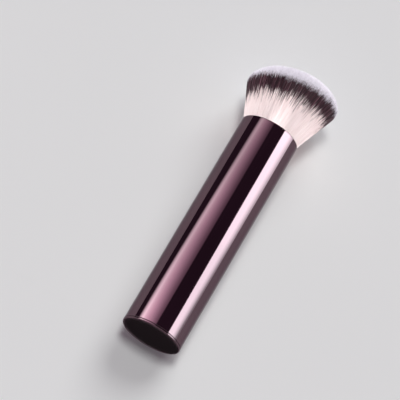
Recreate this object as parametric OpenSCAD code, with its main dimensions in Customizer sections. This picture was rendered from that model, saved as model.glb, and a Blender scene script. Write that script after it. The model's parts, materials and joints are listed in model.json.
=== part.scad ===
// Flat top foundation brush with a plain metal handle, standing on its base.
// The origin is the centre of the base face, and +Z runs from the base to the bristle tips.

/* [Handle tube] */
// Outside diameter of the handle tube
tube_d = 24; // [20:0.5:32]
// Wall of the handle tube
tube_wall = 0.6; // [0.4:0.05:0.9]
// Length of the handle, from the base face to the rim
handle_len = 94.5; // [80:0.5:130]
// Bevel on the tube's lower edge, at the top of the shadow gap
seam_bevel = 0.12; // [0.05:0.01:0.25]

/* [Base cap] */
// Thickness of the cap's visible disc
cap_disc_t = 0.8; // [0.8:0.1:1.6]
// Height of the shadow gap between the cap's disc and the tube
gap_h = 0.25; // [0.1:0.05:0.4]
// Depth of the shadow gap
gap_depth = 0.3; // [0.2:0.05:0.35]
// Radius round the edge of the base face
cap_edge_r = 0.6; // [0.2:0.05:0.75]
// Height of the spigot that presses into the tube
cap_spigot_h = 4; // [3:0.5:7]
// Width of the glue groove round the spigot
cap_groove_w = 1.2; // [0.6:0.1:1.6]
// Depth of the glue groove round the spigot
cap_groove_depth = 0.4; // [0.2:0.1:0.8]
// Lead-in chamfer at the top of the spigot
cap_lead = 0.5; // [0.2:0.1:0.8]
// Radial clearance of everything that presses into the tube
press_gap = 0.05; // [0.02:0.01:0.1]

/* [Counterweight] */
// Length of the steel counterweight
slug_len = 22; // [16:1:30]
// Radial clearance of the counterweight in the tube
slug_gap = 0.3; // [0.2:0.05:0.8]
// Chamfer on both ends of the counterweight
slug_chamfer = 0.8; // [0.3:0.1:1.5]
// Thickness of the foam pads below and above the counterweight
pad_t = 1; // [0.6:0.1:2]
// Diameter of the hole in the middle of each foam pad
pad_hole_d = 6; // [4:0.5:9]

/* [Handle core] */
// Thickness of the core's end discs
core_disc_t = 1.6; // [1.2:0.1:2.2]
// Number of fins round the core's post
core_fins = 8; // [6:1:10]
// Thickness of each fin
core_fin_t = 1.1; // [0.8:0.1:1.6]
// Number of stiffening discs between the end discs
core_rings = 2; // [1:1:3]
// Thickness of each stiffening disc
core_ring_t = 1; // [0.8:0.1:1.4]
// Diameter of the core's post
core_post_d = 8; // [7:0.5:10]
// Diameter of the hole moulded through the post
core_hole_d = 5; // [3:0.5:5.5]

/* [Ferrule] */
// Length of the ferrule that holds the bristles
ferrule_len = 17; // [14:0.5:21]
// Wall of the ferrule
ferrule_wall = 0.3; // [0.2:0.05:0.5]
// Outside radius of the corner round the ferrule's bottom
ferrule_corner = 1.2; // [0.8:0.1:1.8]
// Depth of the ferrule's mouth below the rim of the handle
ferrule_recess = 1; // [0.6:0.1:1.6]
// Depth of the groove rolled into the ferrule
crimp_depth = 0.35; // [0.2:0.05:0.5]
// Width of the groove rolled into the ferrule
crimp_w = 2.2; // [1.6:0.1:2.6]
// Thickness of the glue film between the ferrule and what is bonded in it
glue_gap = 0.05; // [0.02:0.01:0.1]
// Height of the resin plug that bonds the bristles' roots
resin_h = 6; // [5:0.25:8]

/* [Bristles] */
// Thickness of the slice of backing that the bristles stand in
backing_t = 2; // [1.5:0.25:3]
// Rings of strands round the middle one
strand_rings = 11; // [10:1:12]
// Clearance between the bundle and the ferrule's mouth and the rim
bundle_gap = 0.1; // [0.05:0.01:0.2]
// Length of each strand's pointed tip
strand_tip = 2.4; // [1.5:0.1:3.5]
// How far the strands' roots reach into the backing
root_depth = 0.3; // [0.2:0.05:0.6]
// Angle at which the outermost strands fan out
fan_angle = 20.5; // [12:0.5:24]
// Height of the crown above the rim, at the middle
crown_h = 26.6; // [22:0.2:34]
// Height of the shoulder above the rim, at the edge of the crown
shoulder_h = 17.5; // [14:0.5:21]
// Angle of the crown's slant towards +X
slant_angle = 7; // [0:0.5:10]
// Angle at which the fan leans away from +X, under its higher side
lean_angle = 1.6; // [0:0.1:3]
// Unevenness of the tips, up or down
tip_uneven = 0.25; // [0:0.05:0.5]

/* [Hidden] */

$fn = 96;

// Overrun of cuts past the faces that they open
overrun = 0.5;
// Sides and angles of a strand's section, with one flat side facing outwards
strand_sides = 3;
first_corner = -60;
// Strands that each ring has more than the ring inside it
ring_step = 6;
// Turn of each ring against the ring inside it
ring_turn = 137.5;
// Turn of the middle strand, which keeps its corners between those of the first ring
middle_turn = 30;
// Girth of a strand, corner to centre, as a share of the pitch between rings
strand_girth_share = 0.52;
// Exponent of the crown's curve from its middle to its shoulder
crown_curve_share = 0.64;
// Angle between the uneven tips of neighbouring strands
uneven_turn = 97;
// Place of the glue groove, as a share of the spigot's height
cap_groove_share = 0.45;
// Place of the rolled groove, as a share of the resin plug's height
crimp_share = 0.55;
// Steps of the curves in the ferrule's outline
corner_steps = 6;
crimp_steps = 8;

// Radii of the handle
tube_r = tube_d/2;
bore_r = tube_r - tube_wall;
press_r = bore_r - press_gap;
slug_r = bore_r - slug_gap;
neck_r = tube_r - gap_depth;

// Heights of the pieces stacked inside the handle
tube_foot_z = cap_disc_t + gap_h;
cap_top_z = tube_foot_z + cap_spigot_h;
slug_z = cap_top_z + pad_t;
upper_pad_z = slug_z + slug_len;
core_z = upper_pad_z + pad_t;
mouth_z = handle_len - ferrule_recess;
ferrule_z = mouth_z - ferrule_len;
core_len = ferrule_z - core_z;
resin_z = ferrule_z + ferrule_wall;
backing_z = resin_z + resin_h;
backing_top_z = backing_z + backing_t;

// Radii of the ferrule and of what is bonded in it
ferrule_in_r = press_r - ferrule_wall;
bonded_r = ferrule_in_r - glue_gap;

// The bundle clears both the ferrule's mouth and the rim, which it passes as it fans out
bundle_r = min(ferrule_in_r, bore_r - ferrule_recess*tan(fan_angle)) - bundle_gap;
strand_pitch = bundle_r/norm([
    strand_rings + strand_girth_share*cos(first_corner),
    strand_girth_share*sin(first_corner)
]);
strand_girth = strand_pitch*strand_girth_share;

// Growth of the bundle for each unit of height above the mouth
fan_growth = tan(fan_angle)/(strand_rings*strand_pitch);

// Height of a cup's side at the middle of its rolled groove
crimp_z = resin_z + resin_h*crimp_share;

// Side of a cup from the middle of its floor to its mouth, with a round corner and a rolled groove
function cup_side(r, floor_z, corner, mouth) = concat(
    [[0, floor_z]],
    [
        for (i = [0:corner_steps])
            let (a = -90 + 90*i/corner_steps)
            [r - corner + corner*cos(a), floor_z + corner + corner*sin(a)]
    ],
    [
        for (i = [0:crimp_steps])
            let (a = 360*i/crimp_steps - 180)
            [r - crimp_depth*(1 + cos(a))/2, crimp_z + crimp_w*a/360]
    ],
    [[r, mouth]]
);

function reversed(points) = [for (i = [len(points) - 1:-1:0]) points[i]];

// Height of the crown above the rim, for a strand at a share of the way out to the last ring
function crown(out_share) =
    shoulder_h + (crown_h - shoulder_h)*pow(1 - out_share*out_share, crown_curve_share);

// Height of a strand's tip above the mouth, where the strand meets the slanted crown
function tip_height(ring, azimuth, out_share) =
    let (root_x = strand_pitch*ring*cos(azimuth))
    let (drift = root_x*fan_growth - tan(lean_angle))
    (crown(out_share) + ferrule_recess + tan(slant_angle)*root_x)/(1 - tan(slant_angle)*drift);

// Middle of a strand at a height above the mouth; below the mouth the strands stand straight
function strand_middle(ring, azimuth, height) =
    let (above = max(0, height))
    let (reach = strand_pitch*ring*(1 + fan_growth*above))
    [reach*cos(azimuth) - tan(lean_angle)*above, reach*sin(azimuth), mouth_z + height];

// Corners of a strand's section; the section grows with the fan, so no two strands cross
function strand_section(ring, azimuth, height) =
    let (girth = strand_girth*(1 + fan_growth*max(0, height)))
    [
        for (j = [0:strand_sides - 1])
            let (a = azimuth + first_corner + 360*j/strand_sides)
            strand_middle(ring, azimuth, height) + girth*[cos(a), sin(a), 0]
    ];

// Places of all strands, each with its ring, azimuth, share of the way out and tip unevenness
strands = [
    for (ring = [0:strand_rings])
        let (count = max(1, ring_step*ring))
        for (i = [0:count - 1])
            [
                ring,
                ring == 0 ? middle_turn : 360*i/count + ring_turn*ring,
                ring/strand_rings,
                sin(uneven_turn*(i + ring*ring))
            ]
];

// Points of one strand: sections at its root, at the mouth and below its tip, then the tip itself
function strand_points(s) =
    let (tip = tip_height(s[0], s[1], s[2]) + tip_uneven*s[3])
    concat(
        strand_section(s[0], s[1], backing_top_z - root_depth - mouth_z),
        strand_section(s[0], s[1], 0),
        strand_section(s[0], s[1], tip - strand_tip),
        [strand_middle(s[0], s[1], tip)]
    );

strand_sections = 3;
strand_point_count = strand_sections*strand_sides + 1;

// Triangles of one strand, whose points start at index first
function strand_faces(first) = concat(
    [[for (j = [0:strand_sides - 1]) first + j]],
    [
        for (k = [0:strand_sections - 2])
            for (j = [0:strand_sides - 1])
                let (low = first + k*strand_sides + j)
                let (low_next = first + k*strand_sides + (j + 1)%strand_sides)
                for (triangle = [
                    [low, low + strand_sides, low_next + strand_sides],
                    [low, low_next + strand_sides, low_next]
                ])
                    triangle
    ],
    [
        for (j = [0:strand_sides - 1])
            let (last = first + (strand_sections - 1)*strand_sides)
            [last + j, first + strand_point_count - 1, last + (j + 1)%strand_sides]
    ]
);

// Least gap between neighbours in a ring at the mouth, where the strands stand closest
least_gap = min([
    for (ring = [1:strand_rings])
        2*sin(180/(ring_step*ring))*(strand_pitch*ring + strand_girth*cos(first_corner))
        + 2*cos(180/(ring_step*ring))*strand_girth*sin(first_corner)
]);
echo(strands = len(strands), least_gap = least_gap);

// Visible disc with a rounded edge, a neck that the tube stands on, and a spigot with a glue groove
module base_cap() {
    groove_z = tube_foot_z + cap_spigot_h*cap_groove_share - cap_groove_w/2;
    color("#2a121f")
    rotate_extrude() {
        translate([tube_r - cap_edge_r, cap_edge_r])
            circle(r = cap_edge_r);
        square([tube_r - cap_edge_r, cap_disc_t]);
        polygon([
            [0, cap_edge_r],
            [tube_r, cap_edge_r],
            [tube_r, cap_disc_t],
            [neck_r, cap_disc_t],
            [neck_r, tube_foot_z],
            [press_r, tube_foot_z],
            [press_r, groove_z],
            [press_r - cap_groove_depth, groove_z],
            [press_r - cap_groove_depth, groove_z + cap_groove_w],
            [press_r, groove_z + cap_groove_w],
            [press_r, cap_top_z - cap_lead],
            [press_r - cap_lead, cap_top_z],
            [0, cap_top_z]
        ]);
    }
}

// Thin drawn tube with a full-round rim and a bevelled lower edge
module handle_tube() {
    color("#3a1526")
    rotate_extrude() {
        polygon([
            [bore_r, tube_foot_z],
            [tube_r - seam_bevel, tube_foot_z],
            [tube_r, tube_foot_z + seam_bevel],
            [tube_r, handle_len - tube_wall/2],
            [bore_r, handle_len - tube_wall/2]
        ]);
        translate([tube_r - tube_wall/2, handle_len - tube_wall/2])
            circle(d = tube_wall);
    }
}

// Foam ring that keeps the counterweight from rattling
module foam_pad(z) {
    color("#55585c")
    translate([0, 0, z])
        difference() {
            cylinder(h = pad_t, r = slug_r);
            translate([0, 0, -overrun])
                cylinder(h = pad_t + 2*overrun, d = pad_hole_d);
        }
}

module lower_pad() {
    foam_pad(cap_top_z);
}

module upper_pad() {
    foam_pad(upper_pad_z);
}

// Turned steel slug with chamfered ends
module counterweight() {
    color("#8d9298")
    translate([0, 0, slug_z])
        rotate_extrude()
        polygon([
            [0, 0],
            [slug_r - slug_chamfer, 0],
            [slug_r, slug_chamfer],
            [slug_r, slug_len - slug_chamfer],
            [slug_r - slug_chamfer, slug_len],
            [0, slug_len]
        ]);
}

// Disc of the moulded core at a height above the core's foot
module core_disc(z, t) {
    translate([0, 0, z])
        cylinder(h = t, r = press_r);
}

// Moulded core: a hollow post with fins, end discs and stiffening discs; the ferrule sits on top
module handle_core() {
    ring_pitch = core_len/(core_rings + 1);
    color("#d8d6d0")
    translate([0, 0, core_z])
        difference() {
            union() {
                cylinder(h = core_len, d = core_post_d);
                core_disc(0, core_disc_t);
                core_disc(core_len - core_disc_t, core_disc_t);
                for (i = [1:core_rings])
                    core_disc(i*ring_pitch - core_ring_t/2, core_ring_t);
                intersection() {
                    cylinder(h = core_len, r = press_r);
                    for (i = [0:core_fins - 1])
                        rotate(360*i/core_fins)
                            translate([core_hole_d/2, -core_fin_t/2, 0])
                                cube([press_r, core_fin_t, core_len]);
                }
            }
            translate([0, 0, -overrun])
                cylinder(h = core_len + 2*overrun, d = core_hole_d);
        }
}

// Drawn cup with a round bottom corner and a rolled groove that locks the resin
module ferrule() {
    color("#b9bcc1")
    rotate_extrude()
    polygon(concat(
        cup_side(press_r, ferrule_z, ferrule_corner, mouth_z),
        reversed(cup_side(ferrule_in_r, resin_z, ferrule_corner - ferrule_wall, mouth_z))
    ));
}

// Resin cast into the ferrule round the bristles' roots
module resin_plug() {
    color("#c9a66b")
    rotate_extrude()
    polygon(concat(
        cup_side(bonded_r, resin_z, ferrule_corner - ferrule_wall, backing_z),
        [[0, backing_z]]
    ));
}

// Dense bundle of strands that fan out from the mouth to a slanted, domed crown
module bristles() {
    color("#f3e3dc")
    union() {
        translate([0, 0, backing_z])
            cylinder(h = backing_t, r = bonded_r);
        polyhedron(
            points = [for (s = strands) for (p = strand_points(s)) p],
            faces = [
                for (i = [0:len(strands) - 1])
                    for (f = strand_faces(i*strand_point_count))
                        f
            ],
            convexity = strand_rings
        );
    }
}

base_cap();
handle_tube();
lower_pad();
counterweight();
upper_pad();
handle_core();
ferrule();
resin_plug();
bristles();
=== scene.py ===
"""Looks of the flat top foundation brush: filaments, materials, studio and camera.

The brush stands on its base in the frame, +Z from the base to the tips. The photograph shows it lying down,
so the camera looks along +Y from a little below the brush and rolls, and the pale floor that the brush lies
on is the plane behind it.
"""
import json
import math

import bpy
import numpy as np
from mathutils import Matrix, Vector

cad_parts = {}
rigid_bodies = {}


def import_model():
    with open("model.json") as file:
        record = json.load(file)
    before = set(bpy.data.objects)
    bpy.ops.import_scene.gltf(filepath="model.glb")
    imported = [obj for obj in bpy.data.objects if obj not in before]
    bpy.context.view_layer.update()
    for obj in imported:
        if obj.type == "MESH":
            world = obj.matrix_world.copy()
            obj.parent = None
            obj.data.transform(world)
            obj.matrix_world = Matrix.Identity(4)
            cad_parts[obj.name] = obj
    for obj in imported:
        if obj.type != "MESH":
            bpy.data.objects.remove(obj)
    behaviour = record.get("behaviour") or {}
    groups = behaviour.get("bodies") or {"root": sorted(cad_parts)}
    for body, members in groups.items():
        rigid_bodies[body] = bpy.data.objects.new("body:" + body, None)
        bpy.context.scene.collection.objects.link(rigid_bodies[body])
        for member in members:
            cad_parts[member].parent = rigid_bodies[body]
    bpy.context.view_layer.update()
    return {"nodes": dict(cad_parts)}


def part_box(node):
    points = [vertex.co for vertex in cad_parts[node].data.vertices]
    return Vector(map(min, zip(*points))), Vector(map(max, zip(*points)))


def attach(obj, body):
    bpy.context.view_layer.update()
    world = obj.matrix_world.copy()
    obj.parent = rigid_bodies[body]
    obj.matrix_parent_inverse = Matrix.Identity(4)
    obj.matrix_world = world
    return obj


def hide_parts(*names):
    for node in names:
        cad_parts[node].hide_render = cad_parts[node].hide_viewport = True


MM = 0.001

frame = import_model()
_, tube_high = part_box("handle_tube")

# Sizes taken from the frame, in metres
TUBE_R = tube_high.x
RIM_Z = tube_high.z
MOUTH_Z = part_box("ferrule")[1].z

# The photograph's frame in pixels, and the camera that took it
PHOTO_SIDE_PX = 400
FOCAL_PX = 2500
SENSOR_WIDTH = 36.0
CAMERA_BELOW = math.radians(21.81)
CAMERA_ROLL = math.radians(30.69)
CAMERA_DISTANCE = 942.2*MM
AIM = Vector((-10.0*MM, 0, 56.6*MM))
NEAREST_SEEN = 0.05
FARTHEST_SEEN = 20.0

# The head: how it fans out of the ferrule's mouth, and how high its shoulder and crown stand above the rim
MOUTH_R = 10.95*MM
FAN_ANGLE = math.radians(20.85)
FAN_GROWTH = math.tan(FAN_ANGLE)/MOUTH_R
SHOULDER_H = 17.5*MM
CROWN_H = 26.5*MM
CROWN_POWER = 0.64
SLANT = math.tan(math.radians(7.1))
LEAN = math.tan(math.radians(1.6))

# All filaments. A root lies about ROOT_SHARE as far from the axis as its filament reaches at the shoulder
SEED = 7
SIDES = 3
FILAMENT_R = 0.06*MM
MOST_PER_PIECE = 5000
MOST_PROUD = 0.25*MM
ROOT_SHARE = 0.6
STRAY_SHARE = 0.03

# Crown filaments: only their last stretch is made. Rows are places along it, and each has a width
CROWN_COUNT = 24000
CROWN_STRETCH = 6.5*MM
CROWN_ROWS = np.array([0, 0.55, 0.85, 1.0])
CROWN_WIDTHS = np.array([1, 1, 0.9, 0.25])
CROWN_THICKNESS = (0.9, 1.4)
CROWN_EDGE = 0.985
CROWN_TURN = 0.002
CROWN_UNEVEN = 0.15*MM
CROWN_STRAY = (0.1*MM, 0.7*MM)
CROWN_BOW = 0.1*MM
GOLDEN_ANGLE = math.pi*(3 - math.sqrt(5))

# The crown's faint waves: radians per millimetre and start along each axis, and height
WAVE_X = (1.9, 1.0)
WAVE_Y = (2.3, 0.4)
WAVE_H = 0.1*MM

# Flank filaments: made at full length, with rows and widths as above. Depth is a share of the mouth's radius
FLANK_COUNT = 12000
FLANK_ROWS = np.array([0, 0.28, 0.52, 0.72, 0.86, 0.95, 1.0])
FLANK_WIDTHS = np.array([1, 1.05, 1.1, 1.15, 1.1, 0.8, 0.25])
FLANK_THICKNESS = (0.8, 1.2)
FLANK_DEPTH = 0.016
FLANK_UNEVEN = 0.2*MM
FLANK_SIDEWAYS = 0.1*MM
FLANK_OUTWARDS = 0.08*MM
FLANK_STRAY = (0.1*MM, 0.6*MM)
STRAY_SIDEWAYS = 0.55*MM
STRAY_OUTWARDS = 0.35*MM

# Tufts, the loose groups of flank filaments. Mixing and shift are in tufts, band spread in steps
TUFTS = 330
TUFT_MIXING = 0.25
TUFT_SHIFT = 0.3
TUFT_UNEVEN = 0.12*MM
TUFT_OUTWARDS = 0.12*MM
TUFT_PULL = 0.33
MOST_PULL = 0.4*MM
TUFT_BAND_SHARE = 0.3
TUFT_BAND_SPREAD = 1.5

# The length map: u is a column for a tone and the dark band's start and end, v the distance from the tip
MAP_LENGTH = 30*MM
TONES = 8
START_STEPS = 4
END_STEPS = 8
COLUMNS = TONES*END_STEPS*START_STEPS
CORNER_PLACES = np.array([0.2, 0.5, 0.8])
CROWN_START_ODDS = (0, 0, 0.3, 0.7)
FLANK_START_ODDS = (0.36, 0.38, 0.22, 0.04)
END_ODDS = (0.05, 0.13, 0.21, 0.23, 0.19, 0.11, 0.06, 0.02)

# The inner mass: its rings, how far it stays inside the filaments, and its tone and steps in the length map
MASS_AROUND = 128
MASS_RINGS_UP = 24
MASS_RINGS_IN = 40
MASS_SHARE = 0.97
MASS_DEPTH = 1.0*MM
MASS_TONE = 4
MASS_FLANK_START = 1
MASS_CROWN_START = 3
MASS_END = 3

# The dark band, in millimetres from the tip. Later steps start and end it farther down, the last ones by more
BAND_START = 0.2
BAND_START_STEP = 0.38
BAND_START_POWER = 1.35
BAND_END = 4.6
BAND_END_SPREAD = 4.9
BAND_END_EXTRA = 1.6
BAND_END_POWER = 4.0
FADE_BEFORE_START = 0.25
FADE_AFTER_START = 0.45
FADE_ROUND_END = 0.7

# How high the bumps of every material stand at full strength
BUMP_HEIGHT = 0.1*MM

# Lacquer tones, as linear values
PALE_LACQUER = (0.136, 0.075, 0.096, 1)
LACQUER = (0.120, 0.066, 0.085, 1)
DEEP_LACQUER = (0.104, 0.057, 0.074, 1)

# Floors and horizon: paint as linear values, how dark a cloud in it gets, and sizes and gaps in metres
LYING_FLOOR = (0.838, 0.861, 0.847, 1)
LYING_SIZE = 4.0
LYING_GAP = 0.3*MM
LYING_ROLL = math.radians(3)
STANDING_FLOOR = (0.812, 0.844, 0.826, 1)
STANDING_SIZE = 8.0
STANDING_GAP = 0.4*MM
FLOOR_GLOW = 0.08
CLOUD = 0.985
HORIZON = (0.665, 0.66, 0.67, 1)
HORIZON_AROUND = 64
HORIZON_R = 3.0
HORIZON_LOW = -0.01
HORIZON_HIGH = 0.5

# Strip softboxes: the lowest height on them that the tube mirrors in the photograph, and the heights
# between which they fade in above the floor
SOFTBOX_DISTANCE = 0.4
LOWEST_MIRRORED = 0.14
FOOT_LOW = 0.004
FOOT_HIGH = 0.034

# The dim light of the world, as linear values
WORLD = (0.08, 0.047, 0.075, 1)

# The colour sockets of a Mix node, whose names are shared by its other kinds
MIX_A = 6
MIX_B = 7
MIX_RESULT = 2


def linear(r, g, b):
    """A colour given as 0 to 255 in the picture, as Blender's linear value."""
    def channel(v):
        v /= 255
        return v/12.92 if v <= 0.04045 else ((v + 0.055)/1.055)**2.4
    return (channel(r), channel(g), channel(b), 1.0)


def add_object(name, data):
    """A new object in the scene that shows data."""
    made = bpy.data.objects.new(name, data)
    bpy.context.scene.collection.objects.link(made)
    return made


class Nodes:
    """Short forms for building the nodes of a material or a lamp."""

    def __init__(self, owner):
        owner.use_nodes = True
        self.owner = owner
        self.tree = owner.node_tree

    @classmethod
    def material(cls, name):
        """The nodes of a new material, none yet."""
        nodes = cls(bpy.data.materials.new(name))
        nodes.tree.nodes.clear()
        return nodes

    def finish(self, shader):
        """Makes shader the material's surface, and returns the material."""
        self.add("ShaderNodeOutputMaterial", {"Surface": shader})
        return self.owner

    def add(self, kind, inputs=None, **settings):
        """A node with these settings, its inputs linked to sockets or set to values."""
        node = self.tree.nodes.new(kind)
        for key, value in settings.items():
            setattr(node, key, value)
        for key, value in (inputs or {}).items():
            if isinstance(value, bpy.types.NodeSocket):
                self.tree.links.new(value, node.inputs[key])
            else:
                node.inputs[key].default_value = value
        return node

    def math(self, operation, a, b=None, clamp=False):
        """The result of an operation on one value or on two."""
        inputs = {0: a} if b is None else {0: a, 1: b}
        return self.add("ShaderNodeMath", inputs, operation=operation, use_clamp=clamp).outputs[0]

    def line(self, value, slope, start):
        """start, plus slope for each unit of value."""
        return self.math("ADD", self.math("MULTIPLY", value, slope), start)

    def fade(self, value, low, high):
        """0 up to low, 1 from high on, and a smooth rise between."""
        return self.add("ShaderNodeMapRange", {"Value": value, "From Min": low, "From Max": high},
                        interpolation_type="SMOOTHSTEP").outputs[0]

    def ramp(self, place, stops):
        """The colour at a place between stops; there are at least two."""
        node = self.add("ShaderNodeValToRGB", {"Fac": place})
        elements = node.color_ramp.elements
        while len(elements) < len(stops):
            elements.new(0.5)
        for element, (position, colour) in zip(elements, stops):
            element.position = position
            element.color = colour
        return node.outputs["Color"]

    def mix(self, share, a, b):
        """Colour a, with a share of colour b."""
        node = self.add("ShaderNodeMix", {"Factor": share, MIX_A: a, MIX_B: b}, data_type="RGBA")
        return node.outputs[MIX_RESULT]

    def noise(self, scale, detail, stretch=(1, 1, 1)):
        """A noise of the place on the piece, finer along an axis where stretch is larger."""
        place = self.add("ShaderNodeTexCoord").outputs["Object"]
        stretched = self.add("ShaderNodeMapping", {"Vector": place, "Scale": stretch}).outputs["Vector"]
        inputs = {"Vector": stretched, "Scale": scale, "Detail": detail}
        return self.add("ShaderNodeTexNoise", inputs).outputs["Fac"]

    def bump(self, height, strength):
        """A surface that rises and falls with height."""
        inputs = {"Height": height, "Strength": strength, "Distance": BUMP_HEIGHT}
        return self.add("ShaderNodeBump", inputs).outputs["Normal"]


def lacquered_metal(name, colour, deep):
    """Mirror-gloss metal under clear lacquer, with a slight drift of tone and the faintest handling marks."""
    n = Nodes.material(name)
    tone = n.ramp(n.noise(scale=38.0, detail=2.0), [(0.35, deep), (0.65, colour)])
    marks = n.noise(scale=1.0, detail=3.0, stretch=(900.0, 900.0, 60.0))
    rough = n.add("ShaderNodeMapRange", {
        "Value": marks, "From Min": 0.35, "From Max": 0.75, "To Min": 0.05, "To Max": 0.09})
    ripple = n.bump(n.noise(scale=90.0, detail=1.0), strength=0.03)
    shader = n.add("ShaderNodeBsdfPrincipled", {
        "Base Color": tone, "Metallic": 1.0, "Roughness": rough.outputs[0], "Normal": ripple,
        "Specular Tint": (0.35, 0.30, 0.33, 1), "Coat Weight": 0.5, "Coat Roughness": 0.02, "Coat IOR": 1.5})
    return n.finish(shader.outputs[0])


def filament_material():
    """Cream filaments with a dark wine band and white tips, as a pure function of the length map."""
    n = Nodes.material("filament")
    uv = n.add("ShaderNodeUVMap", uv_map="OFBake").outputs["UV"]
    parts = n.add("ShaderNodeSeparateXYZ", {"Vector": uv})
    from_tip = n.math("MULTIPLY", parts.outputs["Y"], MAP_LENGTH/MM)
    # the steps that the column stands for, that of the end as a share
    column = n.math("FLOOR", n.math("MULTIPLY", parts.outputs["X"], float(COLUMNS)))
    start_step = n.math("MODULO", column, float(START_STEPS))
    rest = n.math("DIVIDE", n.math("SUBTRACT", column, start_step), float(START_STEPS))
    end_share = n.math("DIVIDE", n.math("MODULO", rest, float(END_STEPS)), float(END_STEPS - 1))
    # the band, in millimetres from the tip
    start = n.line(n.math("POWER", start_step, BAND_START_POWER), BAND_START_STEP, BAND_START)
    extra = n.math("MULTIPLY", n.math("POWER", end_share, BAND_END_POWER), BAND_END_EXTRA)
    end = n.math("ADD", n.line(end_share, BAND_END_SPREAD, BAND_END), extra)
    dark_in = n.fade(
        from_tip, n.math("SUBTRACT", start, FADE_BEFORE_START), n.math("ADD", start, FADE_AFTER_START))
    dark_out = n.fade(
        from_tip, n.math("SUBTRACT", end, FADE_ROUND_END), n.math("ADD", end, FADE_ROUND_END))
    # each column's own tone of the three colours
    chance = n.add("ShaderNodeTexWhiteNoise", {"W": column}, noise_dimensions="1D").outputs["Value"]
    tips = n.ramp(chance, [(0.0, linear(201, 197, 206)), (1.0, linear(229, 225, 233))])
    wine = n.ramp(chance, [
        (0.0, linear(28, 6, 16)), (0.5, linear(44, 15, 27)), (0.88, linear(72, 33, 47)),
        (0.95, linear(118, 74, 88)), (1.0, linear(170, 128, 138))])
    cream = n.ramp(chance, [(0.0, linear(242, 223, 221)), (1.0, linear(250, 237, 235))])
    colour = n.mix(dark_out, n.mix(dark_in, tips, wine), cream)
    shader = n.add("ShaderNodeBsdfPrincipled", {
        "Base Color": colour, "Roughness": 0.5, "Specular IOR Level": 0.2})
    return n.finish(shader.outputs[0])


def grained_material(name, low, high, scale, roughness, metallic=0.0, bump=0.2, stretch=(1, 1, 1)):
    """A finish of two tones mixed by a grain, with a bump of the same grain."""
    n = Nodes.material(name)
    grain = n.noise(scale, detail=4.0, stretch=stretch)
    shader = n.add("ShaderNodeBsdfPrincipled", {
        "Base Color": n.ramp(grain, [(0.3, low), (0.7, high)]), "Roughness": roughness, "Metallic": metallic,
        "Normal": n.bump(grain, bump)})
    return n.finish(shader.outputs[0])


def foam():
    """Dark closed-cell foam."""
    return grained_material("foam", linear(66, 68, 72), linear(92, 94, 98), scale=1400.0,
                            roughness=0.9, bump=0.6)


def turned_steel():
    """Steel with fine rings round the axis."""
    return grained_material("turned_steel", linear(150, 153, 158), linear(188, 190, 194), scale=300.0,
                            roughness=0.35, metallic=1.0, bump=0.1, stretch=(1, 1, 20))


def moulded_plastic():
    """Pale plastic as it leaves the mould."""
    return grained_material("moulded_plastic", linear(214, 212, 206), linear(224, 222, 217), scale=500.0,
                            roughness=0.55)


def drawn_aluminium():
    """Aluminium with fine lines along the axis."""
    return grained_material("drawn_aluminium", linear(180, 183, 188), linear(205, 207, 211), scale=250.0,
                            roughness=0.3, metallic=1.0, bump=0.1, stretch=(8, 8, 1))


def cast_resin():
    """Amber epoxy."""
    return grained_material("cast_resin", linear(188, 152, 92), linear(206, 172, 112), scale=120.0,
                            roughness=0.2)


def dress_cad():
    """Gives each CAD node its finish."""
    finishes = {
        "handle_tube": lacquered_metal("handle_lacquer", PALE_LACQUER, LACQUER),
        "base_cap": lacquered_metal("cap_lacquer", LACQUER, DEEP_LACQUER),
        "lower_pad": foam(),
        "counterweight": turned_steel(),
        "handle_core": moulded_plastic(),
        "ferrule": drawn_aluminium(),
        "resin_plug": cast_resin(),
    }
    finishes["upper_pad"] = finishes["lower_pad"]
    for node, finish in finishes.items():
        mesh = frame["nodes"][node].data
        mesh.materials.clear()
        mesh.materials.append(finish)


def root_place(share, azimuth):
    """Where a filament is rooted in the mouth, at a share of its radius."""
    return MOUTH_R*share*np.cos(azimuth), MOUTH_R*share*np.sin(azimuth)


def crown_height(share, root_x):
    """Height above the mouth where a filament meets the slanted crown."""
    level = SHOULDER_H + (CROWN_H - SHOULDER_H)*(1 - share**2)**CROWN_POWER + RIM_Z - MOUTH_Z
    drift = root_x*FAN_GROWTH - LEAN
    return (level + SLANT*root_x)/(1 - SLANT*drift)


def fan_point(root_x, root_y, height):
    """Place of a filament at a height above the mouth."""
    spread = 1 + FAN_GROWTH*np.maximum(height, 0)
    return np.stack([root_x*spread - LEAN*np.maximum(height, 0), root_y*spread, MOUTH_Z + height], -1)


def bend(centre, rows, move_x, move_y):
    """Moves filaments sideways, more and more towards their tips."""
    centre[..., 0] += move_x[:, None]*rows**2
    centre[..., 1] += move_y[:, None]*rows**2


def keep_in(centre, height):
    """Pulls back what stands too proud of the fan's outside."""
    middle = -LEAN*np.maximum(height, 0)
    off = np.hypot(centre[..., 0] - middle, centre[..., 1])
    shoulder = crown_height(1, centre[..., 0]*ROOT_SHARE)
    most = MOUTH_R*(1 + FAN_GROWTH*np.clip(height, 0, shoulder)) + MOST_PROUD
    scale = np.minimum(1, most/np.maximum(off, MM))
    centre[..., 0] = middle + (centre[..., 0] - middle)*scale
    centre[..., 1] *= scale


def column_u(tone, start, end):
    """Left edge of the length map's column for a tone and for the band's two steps."""
    return ((tone*END_STEPS + end)*START_STEPS + start)/COLUMNS


def filament_faces(count, rows):
    """The side faces of filaments, and their three-cornered ends: all the tips, then all the roots."""
    first = np.arange(count)*rows*SIDES
    walls = []
    for row in range(rows - 1):
        for side in range(SIDES):
            a = first + SIDES*row + side
            b = first + SIDES*row + (side + 1) % SIDES
            walls.append(np.stack([a, b, b + SIDES, a + SIDES], -1))
    last = first + SIDES*(rows - 1)
    tips = np.stack([last, last + 1, last + 2], -1)
    roots = np.stack([first + 2, first + 1, first], -1)
    return np.stack(walls, 1).reshape(-1, 4), np.concatenate([tips, roots])


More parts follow.
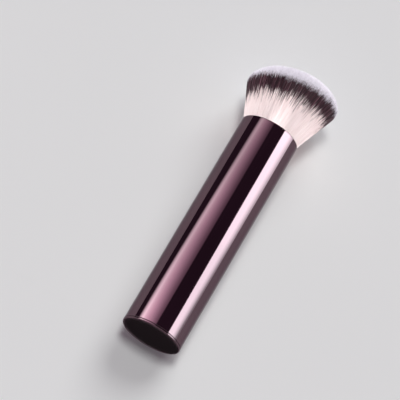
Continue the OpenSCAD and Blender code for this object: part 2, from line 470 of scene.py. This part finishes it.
def sharpen_roots(mesh, points):
    """Marks the edges of the flat root ends sharp, so that they don't bend the shading above them."""
    ends = np.empty(2*len(mesh.edges), np.int32)
    mesh.edges.foreach_get("vertices", ends)
    at_root = (ends % points < SIDES).reshape(-1, 2).all(1)
    mesh.edges.foreach_set("use_edge_sharp", at_root)


def filaments(name, material, centre, azimuth, radius, tip_distance, left):
    """One mesh of three-sided filaments along rows of centre points, each narrowing to its tip."""
    count, rows = centre.shape[:2]
    corners = []
    for side in range(SIDES):
        turn = azimuth + 2*math.pi*side/SIDES + math.pi/SIDES
        out = np.stack([np.cos(turn), np.sin(turn), np.zeros(count)], -1)
        corners.append(centre + out[:, None, :]*radius[..., None])
    verts = np.stack(corners, 2).reshape(-1, 3)
    walls, ends = filament_faces(count, rows)
    loops = np.concatenate([walls.ravel(), ends.ravel()])
    starts = np.concatenate([np.arange(len(walls))*4, len(walls)*4 + np.arange(len(ends))*3])
    mesh = bpy.data.meshes.new(name)
    mesh.vertices.add(len(verts))
    mesh.vertices.foreach_set("co", verts.astype(np.float32).ravel())
    mesh.loops.add(len(loops))
    mesh.loops.foreach_set("vertex_index", loops.astype(np.int32))
    mesh.polygons.add(len(starts))
    mesh.polygons.foreach_set("loop_start", starts.astype(np.int32))
    u = np.broadcast_to(left[:, None, None] + CORNER_PLACES/COLUMNS, (count, rows, SIDES))
    v = np.broadcast_to(np.clip(tip_distance/MAP_LENGTH, 0, 1)[:, :, None], (count, rows, SIDES))
    uv = np.stack([u, v], -1).reshape(-1, 2)[loops]
    layer = mesh.uv_layers.new(name="OFBake")
    layer.data.foreach_set("uv", uv.astype(np.float32).ravel())
    mesh.update(calc_edges=True)
    mesh.validate()
    # smooth, apart from the root ends
    mesh.polygons.foreach_set("use_smooth", np.arange(len(starts)) < len(walls) + count)
    sharpen_roots(mesh, SIDES*rows)
    mesh.materials.append(material)
    return add_object(name, mesh)


def in_pieces(name, material, order, **layer):
    """Cuts a layer of filaments into pieces of a handy size, along order."""
    rank = np.argsort(order, kind="stable")
    made = []
    for k, part in enumerate(np.array_split(rank, math.ceil(len(rank)/MOST_PER_PIECE))):
        cut = {key: values[part] for key, values in layer.items()}
        made.append(filaments(f"{name}_{k + 1}", material, **cut))
    return made


def crown_wave(root_x, root_y):
    """The crown's faint waves, as a height."""
    along_x = np.sin(root_x/MM*WAVE_X[0] + WAVE_X[1])
    along_y = np.sin(root_y/MM*WAVE_Y[0] + WAVE_Y[1])
    return along_x*along_y*WAVE_H


def crown_filaments(rng, material):
    """The filaments whose ends make the crown: only their last few millimetres can be seen."""
    i = np.arange(CROWN_COUNT)
    share = np.sqrt((i + 0.5)/CROWN_COUNT)*CROWN_EDGE
    azimuth = i*GOLDEN_ANGLE + rng.normal(0, CROWN_TURN, CROWN_COUNT)
    root_x, root_y = root_place(share, azimuth)
    stray = rng.random(CROWN_COUNT) < STRAY_SHARE
    tip = crown_height(share, root_x) + crown_wave(root_x, root_y) + rng.normal(0, CROWN_UNEVEN, CROWN_COUNT)
    tip = tip + stray*rng.uniform(*CROWN_STRAY, CROWN_COUNT)
    height = (tip - CROWN_STRETCH)[:, None] + CROWN_STRETCH*CROWN_ROWS
    centre = fan_point(root_x[:, None], root_y[:, None], height)
    phase = rng.uniform(0, 2*math.pi, CROWN_COUNT)
    bow = np.abs(rng.normal(0, CROWN_BOW, CROWN_COUNT))
    bend(centre, CROWN_ROWS, bow*np.cos(phase), bow*np.sin(phase))
    keep_in(centre, height)
    thick = FILAMENT_R*rng.uniform(*CROWN_THICKNESS, CROWN_COUNT)
    end = rng.choice(END_STEPS, CROWN_COUNT, p=END_ODDS)
    start = rng.choice(START_STEPS, CROWN_COUNT, p=CROWN_START_ODDS)
    left = column_u(rng.choice(TONES, CROWN_COUNT), start, end)
    return in_pieces("crown_filaments", material, root_x, centre=centre, azimuth=azimuth,
                     radius=thick[:, None]*CROWN_WIDTHS, tip_distance=tip[:, None] - height, left=left)


def flank_columns(rng, tuft):
    """The flank's columns of the length map; some filaments end their band about where their tuft does."""
    with_tuft = rng.choice(END_STEPS, TUFTS, p=END_ODDS)[tuft] + rng.normal(0, TUFT_BAND_SPREAD, FLANK_COUNT)
    alone = rng.choice(END_STEPS, FLANK_COUNT, p=END_ODDS)
    end = np.round(np.where(rng.random(FLANK_COUNT) < TUFT_BAND_SHARE, with_tuft, alone))
    start = rng.choice(START_STEPS, FLANK_COUNT, p=FLANK_START_ODDS)
    return column_u(rng.choice(TONES, FLANK_COUNT), start, np.clip(end, 0, END_STEPS - 1))


def flank_filaments(rng, material):
    """The full-length filaments of the flank, in tufts that draw together towards their tips, and strays."""
    whole = 2*math.pi
    share = 1 - np.abs(rng.normal(0, FLANK_DEPTH, FLANK_COUNT))
    azimuth = (np.arange(FLANK_COUNT) + rng.uniform(0, 1, FLANK_COUNT))*whole/FLANK_COUNT
    tuft = np.floor(azimuth/whole*TUFTS + rng.normal(0, TUFT_MIXING, FLANK_COUNT)).astype(int) % TUFTS
    middle = (tuft + 0.5 + rng.uniform(-TUFT_SHIFT, TUFT_SHIFT, TUFTS)[tuft])*whole/TUFTS
    stray = rng.random(FLANK_COUNT) < STRAY_SHARE
    root_x, root_y = root_place(share, azimuth)
    tip = crown_height(share, root_x) + rng.normal(0, FLANK_UNEVEN, FLANK_COUNT)
    tip += rng.normal(0, TUFT_UNEVEN, TUFTS)[tuft]
    tip += stray*rng.uniform(*FLANK_STRAY, FLANK_COUNT)
    height = tip[:, None]*FLANK_ROWS
    centre = fan_point(root_x[:, None], root_y[:, None], height)
    # pulled sideways to the tuft's middle, and in or out with the tuft
    pull = ((middle - azimuth + math.pi) % whole - math.pi)*TUFT_PULL
    reach = MOUTH_R + math.tan(FAN_ANGLE)*tip
    sideways = np.clip(pull*reach, -MOST_PULL, MOST_PULL) + rng.normal(0, FLANK_SIDEWAYS, FLANK_COUNT)
    sideways += stray*rng.normal(0, STRAY_SIDEWAYS, FLANK_COUNT)
    outwards = rng.normal(0, TUFT_OUTWARDS, TUFTS)[tuft] + rng.normal(0, FLANK_OUTWARDS, FLANK_COUNT)
    outwards += stray*rng.uniform(0, STRAY_OUTWARDS, FLANK_COUNT)
    bend(centre, FLANK_ROWS, outwards*np.cos(azimuth) - sideways*np.sin(azimuth),
         outwards*np.sin(azimuth) + sideways*np.cos(azimuth))
    keep_in(centre, height)
    thick = FILAMENT_R*rng.uniform(*FLANK_THICKNESS, FLANK_COUNT)
    left = flank_columns(rng, tuft)
    return in_pieces("flank_filaments", material, azimuth, centre=centre, azimuth=azimuth,
                     radius=thick[:, None]*FLANK_WIDTHS, tip_distance=tip[:, None] - height, left=left)


def ring_faces(around, first, second):
    """The four-sided faces between two rings of points, each ring given by the number of its first point."""
    faces = []
    for i in range(around):
        j = (i + 1) % around
        faces.append((first + i, first + j, second + j, second + i))
    return faces


def inner_mass(material):
    """The dense inside of the bundle: a closed form just under the filaments' tips and flanks."""
    azimuth = np.linspace(0, 2*math.pi, MASS_AROUND, endpoint=False)
    shares = [MASS_SHARE]*MASS_RINGS_UP + [MASS_SHARE*(1 - k/MASS_RINGS_IN) for k in range(1, MASS_RINGS_IN)]
    points = []
    from_tip = []
    left = []
    for k, share in enumerate(shares):
        x, y = root_place(share, azimuth)
        top = crown_height(share, x)
        height = (top - MASS_DEPTH)*min(k/(MASS_RINGS_UP - 1), 1)
        points.append(fan_point(x, y, height))
        from_tip.append(top - height)
        start = MASS_FLANK_START if k < MASS_RINGS_UP - 1 else MASS_CROWN_START
        left.append(np.full(MASS_AROUND, column_u(MASS_TONE, start, MASS_END)))
    last = (len(shares) - 1)*MASS_AROUND
    faces = []
    for ring in range(0, last, MASS_AROUND):
        faces += ring_faces(MASS_AROUND, ring, ring + MASS_AROUND)
    faces.append(tuple(range(last, last + MASS_AROUND)))
    faces.append(tuple(reversed(range(MASS_AROUND))))
    mesh = bpy.data.meshes.new("inner_mass")
    mesh.from_pydata(np.concatenate(points).tolist(), [], faces)
    layer = mesh.uv_layers.new(name="OFBake")
    u = np.concatenate(left) + 0.5/COLUMNS
    v = np.concatenate(from_tip)/MAP_LENGTH
    for polygon in mesh.polygons:
        # a face keeps to the column of its first corner
        first = polygon.vertices[0]
        for loop in polygon.loop_indices:
            layer.data[loop].uv = (u[first], min(v[mesh.loops[loop].vertex_index], 1.0))
    mesh.polygons.foreach_set("use_smooth", [True]*len(mesh.polygons))
    mesh.materials.append(material)
    return add_object("inner_mass", mesh)


def make_head():
    """Filaments of the flank and the crown over the inner mass."""
    rng = np.random.default_rng(SEED)
    material = filament_material()
    pieces = crown_filaments(rng, material) + flank_filaments(rng, material) + [inner_mass(material)]
    for piece in pieces:
        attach(piece, "root")
        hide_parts("bristles")


def stage_piece(name, verts, faces, material):
    """A stage surface that lights and mirrors see, but that throws no light or shade of its own."""
    mesh = bpy.data.meshes.new(name)
    mesh.from_pydata(verts, [], faces)
    mesh.materials.append(material)
    piece = add_object(name, mesh)
    piece.visible_diffuse = False
    piece.visible_shadow = False
    return piece


def plane(name, centre, normal, size, material):
    """A square stage plane that faces along normal."""
    half = size/2
    corners = [(-half, -half, 0), (half, -half, 0), (half, half, 0), (-half, half, 0)]
    piece = stage_piece(name, corners, [(0, 1, 2, 3)], material)
    turn = Vector(normal).to_track_quat("Z", "Y").to_matrix().to_4x4()
    piece.matrix_world = Matrix.Translation(centre) @ turn


def one_sided(n, shader):
    """A surface that can be seen from its front only."""
    behind = n.add("ShaderNodeNewGeometry").outputs["Backfacing"]
    clear = n.add("ShaderNodeBsdfTransparent").outputs[0]
    return n.finish(n.add("ShaderNodeMixShader", {0: behind, 1: shader, 2: clear}).outputs[0])


def floor_paint(name, colour):
    """Pale matt paint with the slightest cloudiness."""
    n = Nodes.material(name)
    cloudy = tuple(c*CLOUD for c in colour[:3]) + (1,)
    tone = n.ramp(n.noise(scale=6.0, detail=2.0), [(0.3, cloudy), (0.7, colour)])
    matt = n.add("ShaderNodeBsdfDiffuse", {"Color": tone})
    glow = n.add("ShaderNodeEmission", {"Color": tone, "Strength": FLOOR_GLOW})
    both = n.add("ShaderNodeAddShader", {0: matt.outputs[0], 1: glow.outputs[0]})
    return one_sided(n, both.outputs[0])


def make_floors():
    """The pale floor that the brush lies on in the photograph, and the one that it stands on."""
    belly = MOUTH_R + math.tan(FAN_ANGLE)*(SHOULDER_H + RIM_Z - MOUTH_Z)
    tilt = math.atan2(belly - TUBE_R, RIM_Z + SHOULDER_H)
    # rolled a little, so that from the side it is seen from behind and stays clear
    back = Vector((math.sin(LYING_ROLL), math.cos(LYING_ROLL), 0))
    away = back*math.cos(tilt) - Vector((0, 0, math.sin(tilt)))
    plane("lying_floor", back*TUBE_R + away*LYING_GAP, -away, LYING_SIZE,
          floor_paint("lying_paint", LYING_FLOOR))
    plane("standing_floor", Vector((0, 0, -STANDING_GAP)), (0, 0, 1), STANDING_SIZE,
          floor_paint("standing_paint", STANDING_FLOOR))


def make_horizon():
    """A low, pale ring far away, seen from inside only."""
    n = Nodes.material("horizon")
    glow = n.add("ShaderNodeEmission", {"Color": HORIZON, "Strength": 1.0})
    turns = [2*math.pi*i/HORIZON_AROUND for i in range(HORIZON_AROUND)]
    ring = [(HORIZON_R*math.cos(turn), HORIZON_R*math.sin(turn)) for turn in turns]
    verts = [(x, y, z) for z in (HORIZON_LOW, HORIZON_HIGH) for x, y in ring]
    faces = ring_faces(HORIZON_AROUND, HORIZON_AROUND, 0)
    stage_piece("horizon", verts, faces, one_sided(n, glow.outputs[0]))


def receivers_of(name, starts):
    """The meshes that a light shines on, picked by how their names start."""
    group = bpy.data.collections.new(name)
    for piece in bpy.data.objects:
        if piece.type == "MESH" and piece.name.startswith(starts):
            group.objects.link(piece)
    return group


def shape_face(lamp, side, bend_height, left, right, profile, full_height, power, tints=()):
    """Gives a softbox's face its shape.

    left and right are the shape's edges: a place along side, and the slope that it takes above bend_height.
    profile is the brightness from the left edge to the right one, and tints are colours from edge to edge.
    The brightness goes with a power of the height, and it is full at full_height.
    """
    n = Nodes(lamp)
    emission = next(node for node in n.tree.nodes if node.type == "EMISSION")
    place = n.add("ShaderNodeNewGeometry").outputs["Position"]
    dot = n.add("ShaderNodeVectorMath", {0: place, 1: tuple(side)}, operation="DOT_PRODUCT")
    along = dot.outputs["Value"]
    z = n.add("ShaderNodeSeparateXYZ", {"Vector": place}).outputs["Z"]
    above_bend = n.math("SUBTRACT", n.math("MAXIMUM", z, bend_height), bend_height)
    left_edge = n.line(above_bend, left[1], left[0])
    width = n.math("SUBTRACT", n.line(above_bend, right[1], right[0]), left_edge)
    across = n.math("DIVIDE", n.math("SUBTRACT", along, left_edge), width, clamp=True)
    brightness = n.ramp(across, [(position, (v, v, v, 1)) for position, v in profile])
    by_height = n.math("POWER", n.math("DIVIDE", n.math("MAXIMUM", z, LOWEST_MIRRORED), full_height), power)
    strength = n.math("MULTIPLY", n.math("MULTIPLY", brightness, by_height), n.fade(z, FOOT_LOW, FOOT_HIGH))
    n.tree.links.new(strength, emission.inputs["Strength"])
    if tints:
        n.tree.links.new(n.ramp(across, tints), emission.inputs["Color"])


def softbox(name, receivers, azimuth, sides, heights, radiance, colour, **face):
    """An upright strip softbox with a shaped face, at an azimuth that runs from -Y towards +X.

    sides and heights are where it ends, beside the brush's axis and above its base; face is its shape.
    """
    out = Vector((math.sin(azimuth), -math.cos(azimuth), 0))
    side = Vector((math.cos(azimuth), math.sin(azimuth), 0))
    up = Vector((0, 0, 1))
    lamp = bpy.data.lights.new(name, "AREA")
    lamp.shape = "RECTANGLE"
    lamp.size = sides[1] - sides[0]
    lamp.size_y = heights[1] - heights[0]
    lamp.color = colour
    lamp.energy = radiance*math.pi*lamp.size*lamp.size_y
    shape_face(lamp, side, **face)
    lamp_object = add_object(name, lamp)
    # the lamp shines along its -Z, towards the brush; its X runs along side
    turn = Matrix((side, up, out)).transposed().to_4x4()
    centre = out*SOFTBOX_DISTANCE + side*(sides[0] + sides[1])/2 + up*(heights[0] + heights[1])/2
    lamp_object.matrix_world = Matrix.Translation(centre) @ turn
    lamp_object.visible_camera = False
    lamp_object.light_linking.receiver_collection = receivers


def make_strips(metal):
    """The two strip softboxes that draw the handle's two highlights."""
    softbox("left_softbox", metal, azimuth=math.radians(-45), sides=(-0.44, 0.345), heights=(-0.02, 0.34),
            radiance=5.0, colour=(1, 1, 1),
            bend_height=0.175, left=(-0.235, 1.04), right=(0.335, 0.0),
            profile=[(0, 0), (0.06, 0.36), (0.14, 0.78), (0.23, 1), (0.33, 0.77), (0.46, 0.58), (0.62, 0.385),
                     (0.8, 0.22), (0.985, 0.12), (1, 0)],
            tints=[(0.23, (1, 1.03, 1, 1)), (0.46, (1, 0.83, 0.91, 1)), (0.9, (1, 0.75, 0.9, 1))],
            full_height=0.161, power=-1.3)
    softbox("right_softbox", metal, azimuth=math.radians(70), sides=(-0.225, 0.32), heights=(-0.02, 0.31),
            radiance=9.2, colour=(0.82, 1.01, 0.95),
            bend_height=0.145, left=(-0.17, -0.3), right=(0.18, 0.84),
            profile=[(0, 0), (0.02, 1), (0.38, 1), (0.47, 0.86), (0.56, 0.69), (0.66, 0.47), (0.77, 0.21),
                     (0.87, 0.08), (1, 0)],
            full_height=0.27, power=0.35)


def sun(name, azimuth, elevation, level, softness, receivers):
    """A wide, even light from far away; level is the brightness that it gives a white card that faces it."""
    lamp = bpy.data.lights.new(name, "SUN")
    lamp.energy = level*math.pi
    lamp.angle = softness
    lamp_object = add_object(name, lamp)
    towards = Vector((math.sin(azimuth)*math.cos(elevation), -math.cos(azimuth)*math.cos(elevation),
                      math.sin(elevation)))
    lamp_object.matrix_world = towards.to_track_quat("Z", "Y").to_matrix().to_4x4()
    lamp_object.light_linking.receiver_collection = receivers


def make_suns(head, floors):
    """Two wide lights on everything, and even fills on the head and on the floors."""
    everything = None
    # name, azimuth and elevation in degrees, level, softness in degrees, and what it shines on
    suns = [
        ("front_light", 5, 48, 0.42, 35, everything),
        ("back_light", 215, 38, 0.5, 40, everything),
        ("floor_fill", -5, 8, 0.36, 14, floors),
        ("middle_fill", -5, 8, 0.28, 14, head),
        ("left_fill", -76, 3, 1.26, 14, head),
        ("right_fill", 78, 3, 1.26, 14, head),
        ("far_fill", 170, 10, 0.55, 20, head),
        ("crown_fill", 0, 78, 0.26, 30, head),
    ]
    for name, azimuth, elevation, level, softness, receivers in suns:
        sun(name, math.radians(azimuth), math.radians(elevation), level, math.radians(softness), receivers)


def make_lights():
    """Strip softboxes for the metal, suns, and a dim world."""
    metal = receivers_of("metal", ("handle_tube", "base_cap"))
    head = receivers_of("head", ("crown_filaments", "flank_filaments", "inner_mass"))
    floors = receivers_of("floors", ("lying_floor", "standing_floor"))
    make_strips(metal)
    make_suns(head, floors)
    world = bpy.data.worlds.new("studio")
    bpy.context.scene.world = world
    world.use_nodes = True
    background = world.node_tree.nodes["Background"]
    background.inputs["Color"].default_value = WORLD
    background.inputs["Strength"].default_value = 1.0


def make_camera():
    """The photograph's camera: a long lens a little below the upright brush, rolled."""
    forward = Vector((0, math.cos(CAMERA_BELOW), math.sin(CAMERA_BELOW)))
    above = Vector((0, -math.sin(CAMERA_BELOW), math.cos(CAMERA_BELOW)))
    across = Vector((1, 0, 0))
    up = math.cos(CAMERA_ROLL)*above - math.sin(CAMERA_ROLL)*across
    right = math.cos(CAMERA_ROLL)*across + math.sin(CAMERA_ROLL)*above
    camera = bpy.data.cameras.new("camera")
    camera.sensor_width = SENSOR_WIDTH
    camera.lens = SENSOR_WIDTH*FOCAL_PX/PHOTO_SIDE_PX
    camera.clip_start = NEAREST_SEEN
    camera.clip_end = FARTHEST_SEEN
    camera_object = add_object("camera", camera)
    turn = Matrix((right, up, -forward)).transposed().to_4x4()
    camera_object.matrix_world = Matrix.Translation(AIM - forward*CAMERA_DISTANCE) @ turn
    bpy.context.scene.camera = camera_object


make_camera()
make_head()
dress_cad()
make_floors()
make_horizon()
make_lights()
bpy.context.scene.view_settings.view_transform = "Standard"
